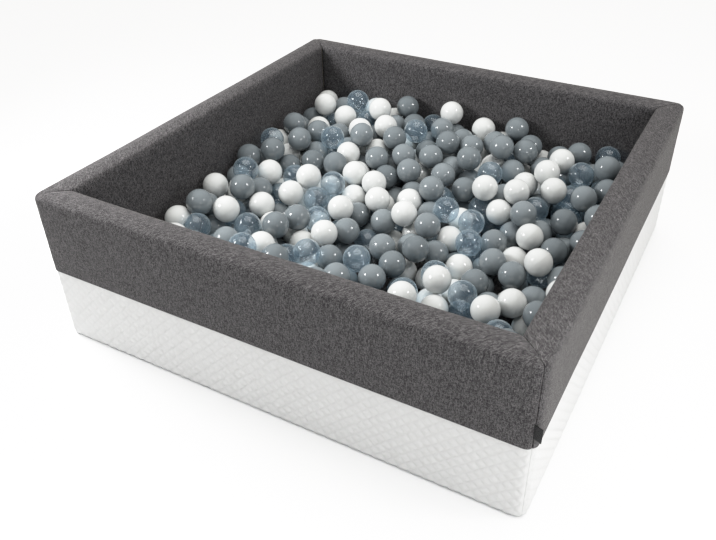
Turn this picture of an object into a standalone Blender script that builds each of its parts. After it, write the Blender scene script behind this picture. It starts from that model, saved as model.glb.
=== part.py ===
# A square foam ball pit, 1.2 m a side, filled with 70 mm balls.
# Four mitred foam walls stand round a padded floor. Woven covers wrap the upper half of the
# walls and line the inside, quilted covers wrap the lower half, and a zip at the back closes
# them. The balls lie in a settled heap. Sixteen at its top are loose and lift out. The others in
# view, and those that carry them, are joined where they touch into nine groups with flat sides.
# Origin: the middle of the underside. X runs along the front wall, Y to the back, Z up.

import heapq
import math
import random

import bmesh
import bpy
from mathutils import Matrix, Quaternion, Vector
from mathutils.bvhtree import BVHTree

# Driving sizes, in metres
pit_length = 1.2
pit_width = 1.2
pit_height = 0.4
wall_thickness = 0.07
hem_height = 0.196
corner_radius = 0.026
top_edge_radius = 0.013
top_crown = 0.003
foot_radius = 0.012
clearance = 0.0003

# Covers
lower_cover_thickness = 0.0025
hem_overhang = 0.0025
turn_under = 0.035
upper_cover_thickness = lower_cover_thickness + hem_overhang

# Floor pad
floor_height = 0.05
floor_cover_thickness = 0.002
floor_edge_radius = 0.01

# Blank label in the seam at the front right corner
label_height = 0.034
label_length = 0.014
label_ply = 0.0005
label_slot = 0.0004
label_rise = 0.028
label_swing = math.radians(-16)

# Zip along the back, just under the hem
zip_length = 1.0
zip_drop = 0.009
tape_height = 0.012
tape_thickness = 0.0006
neck_width = 0.002
neck_height = 0.0016
head_width = 0.0046
head_height = 0.0012
slider_length = 0.014
slider_wall = 0.0009
slider_inset = 0.006
arch_length = 0.006
arch_width = 0.0028
arch_bar = 0.001
pull_length = 0.024
pull_width = 0.0082
pull_thickness = 0.001
pull_bar = 0.001
pull_eye_length = 0.0044
pull_eye_width = 0.005
pull_taper = 0.0016

# Balls, and the height that their middles reach across the pit
ball_diameter = 0.07
ball_gap = 0.0003
heap_middle_height = 0.168
heap_back_rise = 0.105
left_rise_share = 0.75
back_slope_start = -0.12
back_slope_length = 0.62
left_slope_start = 0.02
left_slope_length = 0.5
heap_slack = 0.01

# How each ball is dropped and rolled to its rest
heap_seed = 7
drops_per_ball = 30
most_misses = 40
most_pushes = 6
contact_share = 0.9999995
drop_step = 0.004
least_step = 0.0001
least_fall_share = 0.05

# Loose balls, and how the others are chosen and joined into groups
loose_count = 16
loose_spacing = 0.15
view_ring_shares = (0.3, 0.6, 0.9)
view_spokes = 12
seen_share = 0.6
touch_slack = 0.0012
buried_cost = 50
stray_cost = 1000
feet_per_group = 3

# How finely the round forms are cut into flats
corner_steps = 3
arc_steps = 3
facet_steps = 1
facet_share = 1.13
loose_ball_steps = 2
wall_smooth_angle = 35
ball_smooth_angle = 60
weld_distance = 0.000001

row_names = ("front", "middle", "back")
column_names = ("left", "centre", "right")
side_names = ("front", "right", "back", "left")
ball_radius = ball_diameter / 2
inner_half_length = pit_length / 2 - wall_thickness
inner_half_width = pit_width / 2 - wall_thickness
quarter_turn = math.pi / 2

# Objects left in the scene would become part of the model.
for old in list(bpy.data.objects):
    bpy.data.objects.remove(old, do_unlink=True)

parts = bpy.data.collections.new("ball_pit")
bpy.context.scene.collection.children.link(parts)


def make_material(name, colour, roughness, metallic=0.0, alpha=1.0):
    material = bpy.data.materials.new(name)
    material.use_nodes = True
    shader = material.node_tree.nodes["Principled BSDF"]
    shader.inputs["Base Color"].default_value = (*colour, 1.0)
    shader.inputs["Roughness"].default_value = roughness
    shader.inputs["Metallic"].default_value = metallic
    shader.inputs["Alpha"].default_value = alpha
    return material


charcoal_weave = make_material("charcoal_weave", (0.075, 0.072, 0.072), 0.9)
white_quilt = make_material("white_quilt", (0.82, 0.82, 0.8), 0.8)
base_cloth = make_material("base_cloth", (0.7, 0.7, 0.69), 0.85)
foam = make_material("foam", (0.86, 0.83, 0.7), 0.95)
label_black = make_material("label_black", (0.012, 0.012, 0.013), 0.6)
zip_nylon = make_material("zip_nylon", (0.8, 0.8, 0.79), 0.5)
zip_metal = make_material("zip_metal", (0.55, 0.55, 0.56), 0.3, metallic=1.0)
grey_plastic = make_material("grey_plastic", (0.16, 0.19, 0.22), 0.25)
white_plastic = make_material("white_plastic", (0.85, 0.85, 0.84), 0.2)
clear_plastic = make_material("clear_plastic", (0.72, 0.82, 0.88), 0.05, alpha=0.35)


def add_object(name, mesh, material, smooth_angle=None):
    obj = bpy.data.objects.new(name, mesh)
    mesh.materials.clear()
    mesh.materials.append(material)
    if smooth_angle is not None:
        mesh.shade_smooth()
        mesh.set_sharp_from_angle(angle=math.radians(smooth_angle))
    parts.objects.link(obj)
    return obj


def mesh_from(bm, name):
    bmesh.ops.recalc_face_normals(bm, faces=bm.faces)
    mesh = bpy.data.meshes.new(name)
    bm.to_mesh(mesh)
    bm.free()
    return mesh


# Walls

def plan_point(half_along, reach, depth, share):
    """A point at this depth behind the outer face, share of the way round the half corner."""
    swing = corner_radius - depth
    if swing <= 0:
        return half_along - depth + swing * (1 - share), reach - depth
    bend = share * quarter_turn / 2
    return half_along - corner_radius + swing * math.sin(bend), reach - corner_radius + swing * math.cos(bend)


def wall_piece(name, side, section, material):
    """Sweeps a closed section of (depth, height) points along one wall, mitre to mitre."""
    half_along = (pit_length, pit_width)[side % 2] / 2
    reach = (pit_width, pit_length)[side % 2] / 2
    mitre_gap = clearance / math.sqrt(2)
    bm = bmesh.new()
    rings = []
    for end in (-1, 1):
        shares = [step / corner_steps for step in range(corner_steps + 1)]
        for share in shares[::end]:
            ring = []
            for depth, height in section:
                along, out = plan_point(half_along, reach, depth, share)
                if share == 1:
                    along -= mitre_gap
                ring.append(bm.verts.new((end * along, -out, height)))
            rings.append(ring)
    for ring, following in zip(rings, rings[1:]):
        for i in range(len(section)):
            j = (i + 1) % len(section)
            bm.faces.new((ring[i], ring[j], following[j], following[i]))
    bm.faces.new(rings[0])
    bm.faces.new(rings[-1])
    obj = add_object(name, mesh_from(bm, name), material, wall_smooth_angle)
    obj.rotation_euler.z = side * quarter_turn
    return obj


def arc(centre_depth, centre_height, radius, start, end):
    points = []
    for step in range(arc_steps + 1):
        angle = math.radians(start + (end - start) * step / arc_steps)
        points.append((centre_depth - radius * math.cos(angle), centre_height + radius * math.sin(angle)))
    return points


def hood(inset):
    """The rounded, slightly crowned top of a wall, from its outer face to its inner face."""
    shoulder = pit_height - top_crown - top_edge_radius
    radius = top_edge_radius - inset
    outer = arc(top_edge_radius, shoulder, radius, 0, 90)
    inner = arc(wall_thickness - top_edge_radius, shoulder, radius, 90, 180)
    return outer + [(wall_thickness / 2, pit_height - inset)] + inner


def foot(inset):
    """The rounded lower edge of a wall's outer side, from the side down to the underside."""
    return arc(hem_overhang + foot_radius, foot_radius, foot_radius - inset, 0, -90)


def upper_cover_section():
    lining_foot = lower_cover_thickness + clearance
    outside = [(0, hem_height)] + hood(0) + [(wall_thickness, lining_foot)]
    inside = [(upper_cover_thickness, hem_height)] + hood(upper_cover_thickness)
    inside += [(wall_thickness - upper_cover_thickness, lining_foot)]
    return outside + inside[::-1]


def foam_section():
    inset = upper_cover_thickness + clearance
    base = lower_cover_thickness + clearance
    return hood(inset) + [(wall_thickness - inset, base)] + foot(base)[::-1]


def lower_cover_section():
    top = hem_height - clearance
    outside = [(hem_overhang, top)] + foot(0) + [(turn_under, 0)]
    inside = [(hem_overhang + lower_cover_thickness, top)] + foot(lower_cover_thickness)
    inside += [(turn_under, lower_cover_thickness)]
    return outside + inside[::-1]


for side, side_name in enumerate(side_names):
    wall_piece(side_name + "_wall_foam", side, foam_section(), foam)
    wall_piece(side_name + "_upper_cover", side, upper_cover_section(), charcoal_weave)
    wall_piece(side_name + "_lower_cover", side, lower_cover_section(), white_quilt)


# Floor

def box_mesh(name, size, centre):
    bm = bmesh.new()
    bmesh.ops.create_cube(bm, size=1)
    bmesh.ops.scale(bm, vec=size, verts=bm.verts)
    bmesh.ops.translate(bm, vec=centre, verts=bm.verts)
    return mesh_from(bm, name)


def make_base_cover():
    length = pit_length - 2 * (turn_under + clearance)
    width = pit_width - 2 * (turn_under + clearance)
    middle = (0, 0, lower_cover_thickness / 2)
    mesh = box_mesh("base_cover", (length, width, lower_cover_thickness), middle)
    add_object("base_cover", mesh, base_cloth)


def round_pad_edges(obj, radius):
    """Rounds the upright and the upper edges; the lower face stays flat."""
    bevel = obj.modifiers.new("round edges", "BEVEL")
    bevel.width = radius
    bevel.segments = arc_steps
    bevel.limit_method = "WEIGHT"
    lowest = min(vertex.co.z for vertex in obj.data.vertices)
    weights = obj.data.attributes.new("bevel_weight_edge", "FLOAT", "EDGE")
    for edge in obj.data.edges:
        ends = [obj.data.vertices[i].co.z for i in edge.vertices]
        weights.data[edge.index].value = 0.0 if max(ends) - lowest < least_step else 1.0


def make_floor_pad():
    seat = lower_cover_thickness + clearance
    length = 2 * (inner_half_length - clearance)
    width = 2 * (inner_half_width - clearance)
    height = floor_height - seat
    mesh = box_mesh("floor_cover", (length, width, height), (0, 0, seat + height / 2))
    bm = bmesh.new()
    bm.from_mesh(mesh)
    bm.faces.ensure_lookup_table()
    underside = min(bm.faces, key=lambda face: face.calc_center_median().z)
    bmesh.ops.delete(bm, geom=[underside], context="FACES_ONLY")
    bm.to_mesh(mesh)
    bm.free()
    cover = add_object("floor_cover", mesh, charcoal_weave)
    round_pad_edges(cover, floor_edge_radius)
    shell = cover.modifiers.new("cloth", "SOLIDIFY")
    shell.thickness = floor_cover_thickness
    shell.offset = -1
    shell.use_even_offset = True
    inset = floor_cover_thickness + clearance
    size = (length - 2 * inset, width - 2 * inset, height - inset)
    mesh = box_mesh("floor_foam", size, (0, 0, seat + size[2] / 2))
    pad = add_object("floor_foam", mesh, foam)
    round_pad_edges(pad, floor_edge_radius - inset)


make_base_cover()
make_floor_pad()


# Flat outlines

def outline_mesh(name, outline, thickness, holes=()):
    """A flat plate in its own XY plane, centred on it, from a 2D curve with any holes."""
    curve = bpy.data.curves.new(name, "CURVE")
    curve.dimensions = "2D"
    curve.fill_mode = "BOTH"
    curve.extrude = thickness / 2
    for points in (outline, *holes):
        spline = curve.splines.new("POLY")
        spline.points.add(len(points) - 1)
        for point, place in zip(spline.points, points):
            point.co = (*place, 0, 1)
        spline.use_cyclic_u = True
    guide = bpy.data.objects.new(name + "_outline", curve)
    bpy.context.scene.collection.objects.link(guide)
    graph = bpy.context.evaluated_depsgraph_get()
    mesh = bpy.data.meshes.new_from_object(guide.evaluated_get(graph))
    bpy.data.objects.remove(guide, do_unlink=True)
    bm = bmesh.new()
    bm.from_mesh(mesh)
    bmesh.ops.remove_doubles(bm, verts=bm.verts, dist=weld_distance)
    bmesh.ops.recalc_face_normals(bm, faces=bm.faces)
    bm.to_mesh(mesh)
    bm.free()
    mesh.name = name
    return mesh


# Label

def make_label():
    """A folded woven tab: two plies that start in the corner seam and meet at the fold."""
    depth = label_ply + label_slot / 2
    outline = [
        (0, label_slot / 2),
        (0, depth),
        (label_length - depth, depth),
        (label_length, depth / 2),
        (label_length, -depth / 2),
        (label_length - depth, -depth),
        (0, -depth),
        (0, -label_slot / 2),
        (label_length - depth, -label_slot / 2),
        (label_length - depth, label_slot / 2),
    ]
    mesh = outline_mesh("corner_label", outline, label_height)
    label = add_object("corner_label", mesh, label_black)
    stand_off = clearance + depth * math.sin(quarter_turn / 2 + label_swing)
    seam = corner_radius - (corner_radius + stand_off) / math.sqrt(2)
    middle = hem_height + label_rise + label_height / 2
    label.location = (pit_length / 2 - seam, seam - pit_width / 2, middle)
    label.rotation_euler.z = label_swing


make_label()


# Zip

zip_back = pit_width / 2 - hem_overhang + clearance
zip_height = hem_height - zip_drop - tape_height / 2
head_top = tape_thickness + neck_height + head_height
slider_top = head_top + clearance + slider_wall
slider_start = slider_length / 2 + slider_inset - zip_length / 2


def run_along_x(mesh):
    """Turns a plate drawn with out along X and up along Y so that its thickness runs along X."""
    frame = Matrix(((0, 0, 1, 0), (1, 0, 0, 0), (0, 1, 0, 0), (0, 0, 0, 1)))
    mesh.transform(frame)


def make_zip_chain():
    tape = tape_height / 2
    neck = neck_width / 2
    head = head_width / 2
    under = tape_thickness + neck_height
    half = [(0, tape), (tape_thickness, tape), (tape_thickness, neck), (under, neck), (under, head)]
    half += [(head_top - clearance, head), (head_top, head - clearance)]
    outline = half + [(out, -up) for out, up in half[::-1]]
    mesh = outline_mesh("zip_chain", outline, zip_length)
    run_along_x(mesh)
    chain = add_object("zip_chain", mesh, zip_nylon)
    chain.location = (0, zip_back, zip_height)


def join_solids(name, meshes):
    """Joins overlapping closed meshes into one body."""
    base = bpy.data.objects.new(name, meshes[0])
    other_mesh = bpy.data.meshes.new(name + "_rest")
    bm = bmesh.new()
    for mesh in meshes[1:]:
        bm.from_mesh(mesh)
    bm.to_mesh(other_mesh)
    bm.free()
    other = bpy.data.objects.new(name + "_rest", other_mesh)
    for obj in (base, other):
        bpy.context.scene.collection.objects.link(obj)
    union = base.modifiers.new("join", "BOOLEAN")
    union.operation = "UNION"
    union.solver = "EXACT"
    union.use_self = True
    union.object = other
    graph = bpy.context.evaluated_depsgraph_get()
    joined = bpy.data.meshes.new_from_object(base.evaluated_get(graph))
    for obj in (base, other):
        bpy.data.objects.remove(obj, do_unlink=True)
    joined.name = name
    return joined


def make_zip_slider():
    """A channel that wraps the chain's head, with an arch on its face for the pull."""
    head = head_width / 2 + clearance
    side = head + slider_wall
    lip = neck_width / 2 + clearance
    low = tape_thickness + clearance
    shelf = tape_thickness + neck_height - clearance
    roof = head_top + clearance
    half = [(low, lip), (low, side), (slider_top - slider_wall / 2, side), (slider_top, head)]
    outline = half + [(out, -up) for out, up in half[::-1]]
    outline += [(shelf, -lip), (shelf, -head), (roof, -head), (roof, head), (shelf, head), (shelf, lip)]
    channel = outline_mesh("zip_channel", outline, slider_length)
    run_along_x(channel)
    opening = pull_thickness + 2 * clearance
    rise = opening + arch_bar
    leg = arch_bar
    half_arch = arch_length / 2
    sunk = slider_wall / 2
    arch_outline = [
        (-half_arch, -sunk),
        (-half_arch, rise - arch_bar / 2),
        (arch_bar / 2 - half_arch, rise),
        (half_arch - arch_bar / 2, rise),
        (half_arch, rise - arch_bar / 2),
        (half_arch, -sunk),
        (half_arch - leg, -sunk),
        (half_arch - leg, opening),
        (leg - half_arch, opening),
        (leg - half_arch, -sunk),
    ]
    arch = outline_mesh("zip_arch", arch_outline, arch_width)
    arch.transform(Matrix.Translation((0, slider_top, 0)))
    slider = add_object("zip_slider", join_solids("zip_slider", [channel, arch]), zip_metal)
    slider.location = (slider_start, zip_back, zip_height)


def make_zip_pull():
    """A flat tab whose end bar runs through the arch; its origin is on that bar's axis."""
    half = pull_width / 2
    bar = pull_bar / 2
    far = pull_length - bar
    eye = pull_eye_width / 2
    outline = [
        (-bar, pull_taper - half),
        (-bar, half - pull_taper),
        (pull_taper - bar, half),
        (far - pull_taper, half),
        (far, half - pull_taper),
        (far, pull_taper - half),
        (far - pull_taper, -half),
        (pull_taper - bar, -half),
    ]
    hole = [(bar, -eye), (bar, eye), (bar + pull_eye_length, eye), (bar + pull_eye_length, -eye)]
    mesh = outline_mesh("zip_pull", outline, pull_thickness, [hole])
    mesh.transform(Matrix.Rotation(quarter_turn, 4, "X"))
    pull = add_object("zip_pull", mesh, zip_metal)
    out = slider_top + clearance + pull_thickness / 2
    pull.location = (slider_start, zip_back + out, zip_height)


make_zip_chain()
make_zip_slider()
make_zip_pull()


# Ball heap

def ease(share):
    share = min(1.0, max(0.0, share))
    return share * share * (3 - 2 * share)


def heap_top(x, y):
    """Height of the middles of the topmost balls: they lie deepest at the back and the left."""
    back = ease((y - back_slope_start) / back_slope_length)
    left = ease((left_slope_start - x) / left_slope_length)
    return heap_middle_height + heap_back_rise * (1 - (1 - back) * (1 - left_rise_share * left))


def settle_balls():
    """Drops balls one at a time where the heap is lowest and rolls each down to its rest."""
    pick = random.Random(heap_seed)
    spacing = ball_diameter + ball_gap
    half_x = inner_half_length - ball_radius - ball_gap
    half_y = inner_half_width - ball_radius - ball_gap
    lowest = floor_height + ball_radius + ball_gap
    cells = {}
    balls = []

    def cell_of(x, y):
        return math.floor(x / spacing), math.floor(y / spacing)

    def near(x, y):
        column, row = cell_of(x, y)
        found = []
        for i in (column - 1, column, column + 1):
            for j in (row - 1, row, row + 1):
                found += cells.get((i, j), ())
        return found

    def landing(x, y):
        height = lowest
        for ball in near(x, y):
            across = (ball[0] - x) ** 2 + (ball[1] - y) ** 2
            if across < spacing ** 2:
                height = max(height, ball[2] + math.sqrt(spacing ** 2 - across))
        return height

    def pushed_clear(x, y, z):
        """Moves a place out of the floor, the walls and the balls round it."""
        for push_round in range(most_pushes):
            moved = False
            x = min(half_x, max(-half_x, x))
            y = min(half_y, max(-half_y, y))
            z = max(lowest, z)
            for ball in near(x, y):
                dx, dy, dz = x - ball[0], y - ball[1], z - ball[2]
                apart = math.sqrt(dx * dx + dy * dy + dz * dz)
                if apart < spacing * contact_share:
                    push = (spacing - apart) / apart
                    x, y, z = x + dx * push, y + dy * push, z + dz * push
                    moved = True
            if not moved:
                return x, y, z
        return None

    misses = 0
    while misses < most_misses:
        drops = []
        for drop in range(drops_per_ball):
            x = pick.uniform(-half_x, half_x)
            y = pick.uniform(-half_y, half_y)
            z = landing(x, y)
            drops.append((heap_top(x, y) - z, x, y, z))
        room, x, y, z = max(drops)
        if room < -heap_slack:
            misses += 1
            continue
        step = drop_step
        while step > least_step:
            place = pushed_clear(x, y, z - step)
            if place is None or place[2] > z - step * least_fall_share:
                step /= 2
            else:
                x, y, z = place
        balls.append(Vector((x, y, z)))
        cells.setdefault(cell_of(x, y), []).append((x, y, z))
    return balls


balls = settle_balls()
print("balls in the settled heap:", len(balls))


def ball_mesh(name, radius, cuts):
    bm = bmesh.new()
    bmesh.ops.create_icosphere(bm, subdivisions=cuts, radius=radius)
    return mesh_from(bm, name)


facet_ball = ball_mesh("facet_ball", ball_radius * facet_share, facet_steps)
facet_normals = [polygon.normal.copy() for polygon in facet_ball.polygons]
facet_depth = facet_ball.polygons[0].center.length
facet_corner = facet_ball.vertices[0].co.normalized()
touch = ball_diameter + touch_slack


def seen_from_above(index):
    """The share of a ball that no other ball hides from straight above."""
    middle = balls[index]
    others = [ball for ball in balls if ball.z > middle.z and (ball - middle).xy.length < ball_diameter]
    spots = []
    for ring_share in view_ring_shares:
        for spoke in range(view_spokes):
            angle = spoke * 4 * quarter_turn / view_spokes
            spots.append(middle.xy + Vector((math.cos(angle), math.sin(angle))) * ball_radius * ring_share)
    clear = [spot for spot in spots if all((spot - ball.xy).length > ball_radius for ball in others)]
    return len(clear) / len(spots)


def touching(index):
    middle = balls[index]
    return [i for i, ball in enumerate(balls) if i != index and (ball - middle).length < touch]


def carriers_of(index):
    """The balls that this one lies on."""
    return [i for i in touching(index) if balls[i].z < balls[index].z]


def pick_loose():
    """The highest balls in full view that lie on others, with a clear way up and well apart."""
    chosen = []
    for index in sorted(range(len(balls)), key=lambda i: -balls[i].z - rise_over_heap(i)):
        middle = balls[index]
        beside = [ball for ball in balls if ball.z > middle.z and (ball - middle).xy.length < ball_diameter]
        close = [i for i in chosen if (balls[i] - middle).xy.length < loose_spacing]
        if not beside and not close and len(carriers_of(index)) > 2:
            chosen.append(index)
        if len(chosen) == loose_count:
            break
    return chosen


def rise_over_heap(index):
    return balls[index].z - heap_top(balls[index].x, balls[index].y)


def grid_cell(place):
    """The (row, column) of the heap's grid that holds a place."""
    column = math.floor((place.x / inner_half_length + 1) / 2 * len(column_names))
    row = math.floor((place.y / inner_half_width + 1) / 2 * len(row_names))
    return row, column


def grow_groups(loose, shown):
    """Shares the other balls among a grid of groups, each grown from ball to touching ball."""

    def step_cost(i, name):
        cost = 1 if i in shown else buried_cost
        return cost if grid_cell(balls[i]) == name else cost + stray_cost

    group = {}
    came_from = {}
    front = []
    free = [i for i in range(len(balls)) if i not in loose]
    for row in range(len(row_names)):
        for column in range(len(column_names)):
            x = inner_half_length * ((2 * column + 1) / len(column_names) - 1)
            y = inner_half_width * ((2 * row + 1) / len(row_names) - 1)
            middle = Vector((x, y, heap_top(x, y)))
            start = min(free, key=lambda i: (balls[i] - middle).length)
            heapq.heappush(front, (0, start, start, (row, column)))
    while front:
        cost, i, source, name = heapq.heappop(front)
        if i in group:
            continue
        group[i] = name
        came_from[i] = source
        for j in touching(i):
            if j not in group and j not in loose:
                heapq.heappush(front, (cost + step_cost(j, name), j, i, name))
    return group, came_from


def kept_balls(group, came_from, loose, shown):
    """The balls in view, those that carry loose ones, each group's feet, and what joins them."""
    wanted = {i for i in group if i in shown}
    for index in loose:
        wanted |= {i for i in carriers_of(index) if i in group}
    on_floor = floor_height + ball_radius + 2 * ball_gap
    for name in sorted(set(group.values())):
        feet = [i for i in group if group[i] == name and balls[i].z < on_floor]
        for spoke in range(feet_per_group):
            angle = spoke * 4 * quarter_turn / feet_per_group
            away = Vector((math.cos(angle), math.sin(angle)))
            wanted.add(max(feet, key=lambda i: balls[i].xy.dot(away)))
    kept = set()
    for index in sorted(wanted):
        while index not in kept:
            kept.add(index)
            index = came_from[index]
    return kept


loose = pick_loose()
shown = {i for i in range(len(balls)) if seen_from_above(i) > seen_share}
group, came_from = grow_groups(loose, shown)
kept = kept_balls(group, came_from, loose, shown)
print("balls loose:", len(loose), "joined in groups:", len(kept))


def turn_of(index):
    """The turn that points one corner of a faceted ball at the ball it was reached from."""
    if came_from[index] == index:
        return Quaternion()
    return facet_corner.rotation_difference(balls[came_from[index]] - balls[index])


def facet_reach(index, direction):
    """How far a faceted ball reaches from its middle in this direction."""
    local = turn_of(index).inverted() @ direction.normalized()
    return facet_depth / max(local.dot(normal) for normal in facet_normals)


def cuts_for(index):
    """Planes, as (normal, distance from the ball's middle), that keep a ball clear of the rest."""
    middle = balls[index]
    cuts = [
        (Vector((1, 0, 0)), inner_half_length - middle.x - clearance),
        (Vector((-1, 0, 0)), inner_half_length + middle.x - clearance),
        (Vector((0, 1, 0)), inner_half_width - middle.y - clearance),
        (Vector((0, -1, 0)), inner_half_width + middle.y - clearance),
        (Vector((0, 0, -1)), middle.z - floor_height - clearance),
    ]
    for i, other in enumerate(balls):
        offset = other - middle
        if i == index or offset.length > 2 * ball_radius * facet_share:
            continue
        if i in loose:
            if other.z < middle.z:
                offset.z = 0
            cuts.append((offset.normalized(), offset.length - ball_radius - clearance))
        elif i in kept and group[i] != group[index]:
            cuts.append((offset.normalized(), (offset.length - clearance) / 2))
    return cuts


def trimmed_ball(index):
    bm = bmesh.new()
    bm.from_mesh(facet_ball)
    bmesh.ops.rotate(bm, verts=bm.verts, cent=(0, 0, 0), matrix=turn_of(index).to_matrix())
    for normal, distance in cuts_for(index):
        if max(vertex.co.dot(normal) for vertex in bm.verts) <= distance:
            continue
        cut = bmesh.ops.bisect_plane(
            bm,
            geom=bm.verts[:] + bm.edges[:] + bm.faces[:],
            dist=weld_distance,
            plane_co=normal * distance,
            plane_no=normal,
            clear_outer=True,
        )
        edges = [item for item in cut["geom_cut"] if isinstance(item, bmesh.types.BMEdge)]
        bmesh.ops.holes_fill(bm, edges=edges)
    bmesh.ops.translate(bm, vec=balls[index], verts=bm.verts)
    return mesh_from(bm, "ball")


for row in range(len(row_names)):
    for column in range(len(column_names)):
        members = sorted(i for i in kept if group[i] == (row, column))
        name = "heap_" + row_names[row] + "_" + column_names[column]
        mesh = join_solids(name, [trimmed_ball(i) for i in members])
        add_object(name, mesh, grey_plastic)


def tree_of(meshes):
    """A search tree over several meshes in world space."""
    points = []
    faces = []
    for mesh in meshes:
        start = len(points)
        points += [vertex.co.copy() for vertex in mesh.vertices]
        faces += [[start + i for i in polygon.vertices] for polygon in mesh.polygons]
    return BVHTree.FromPolygons(points, faces)


def add_loose_ball(name, index, material):
    """A whole ball, lowered until it lies a clearance above the faceted balls that carry it."""
    mesh = ball_mesh(name, ball_radius, loose_ball_steps)
    seats = [i for i in carriers_of(index) if i in kept]
    seat = max(seats, key=lambda i: facet_reach(i, balls[index] - balls[i]))
    turn = mesh.vertices[0].co.rotation_difference(balls[seat] - balls[index])
    mesh.transform(turn.to_matrix().to_4x4())
    around = [i for i in touching(index) if i in kept]
    below = tree_of([trimmed_ball(i) for i in around])
    low, high = -clearance, ball_radius
    while high - low > clearance / 10:
        drop = (low + high) / 2
        lowered = mesh.copy()
        lowered.transform(Matrix.Translation(balls[index] - Vector((0, 0, drop))))
        if tree_of([lowered]).overlap(below):
            high = drop
        else:
            low = drop
        bpy.data.meshes.remove(lowered)
    obj = add_object(name, mesh, material, ball_smooth_angle)
    obj.location = balls[index] - Vector((0, 0, low - clearance))


ball_plastics = (white_plastic, grey_plastic, clear_plastic)
for number, index in enumerate(loose, 1):
    add_loose_ball(f"ball_{number:02}", index, ball_plastics[number % len(ball_plastics)])
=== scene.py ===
import math
import random

import bmesh
import bpy
import numpy as np
from mathutils import Matrix, Vector, noise


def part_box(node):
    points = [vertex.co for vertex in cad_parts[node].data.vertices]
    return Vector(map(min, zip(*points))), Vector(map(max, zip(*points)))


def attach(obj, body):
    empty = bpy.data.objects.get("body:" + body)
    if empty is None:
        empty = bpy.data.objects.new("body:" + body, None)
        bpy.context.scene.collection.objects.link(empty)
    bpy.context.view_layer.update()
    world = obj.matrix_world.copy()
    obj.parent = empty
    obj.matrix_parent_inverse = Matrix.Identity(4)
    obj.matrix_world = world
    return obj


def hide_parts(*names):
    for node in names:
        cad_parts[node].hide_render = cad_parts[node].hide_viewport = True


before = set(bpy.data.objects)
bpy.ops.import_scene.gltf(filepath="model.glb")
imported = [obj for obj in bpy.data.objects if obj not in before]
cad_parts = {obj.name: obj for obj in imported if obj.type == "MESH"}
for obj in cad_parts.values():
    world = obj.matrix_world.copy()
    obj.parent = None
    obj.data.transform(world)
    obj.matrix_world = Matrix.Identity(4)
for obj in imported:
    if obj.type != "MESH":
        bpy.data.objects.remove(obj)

scene = bpy.context.scene
quarterTurn = math.pi / 2
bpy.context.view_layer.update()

# Sizes of the frame that the pieces below are fitted to
rimLow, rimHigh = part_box("front_upper_cover")
quiltLow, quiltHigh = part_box("front_lower_cover")
padLow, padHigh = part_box("floor_cover")
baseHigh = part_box("base_cover")[1]

pit = {
    "half": -rimLow.y,
    "height": rimHigh.z,
    "wall": rimHigh.y - rimLow.y,
    "hem": quiltHigh.z,
    "hemOverhang": quiltLow.y - rimLow.y,
    "cornerRadius": 0.026,
    "edgeRadius": 0.013,
    "crown": 0.003,
    "footRadius": 0.012,
    "gap": 0.0003,
}
pit["inner"] = pit["half"] - pit["wall"]
sideNames = ("front", "right", "back", "left")


# Shader maths as Python: a Signal wraps a socket, and an expression on Signals adds Math nodes.

class Signal:
    def __init__(self, book, socket):
        self.book = book
        self.socket = socket

    def math(self, operation, *others, clamp=False):
        settings = {"operation": operation, "use_clamp": clamp}
        return self.book.node("ShaderNodeMath", settings, dict(enumerate((self, *others))))

    def __add__(self, other):
        return self.math("ADD", other)

    def __sub__(self, other):
        return self.math("SUBTRACT", other)

    def __rsub__(self, other):
        return self.book.value("SUBTRACT", other, self)

    def __mul__(self, other):
        return self.math("MULTIPLY", other)

    def __truediv__(self, other):
        return self.math("DIVIDE", other)

    def __pow__(self, other):
        return self.math("POWER", other)

    def __lt__(self, other):
        return self.math("LESS_THAN", other)

    def __gt__(self, other):
        return self.math("GREATER_THAN", other)

    __radd__ = __add__
    __rmul__ = __mul__


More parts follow.
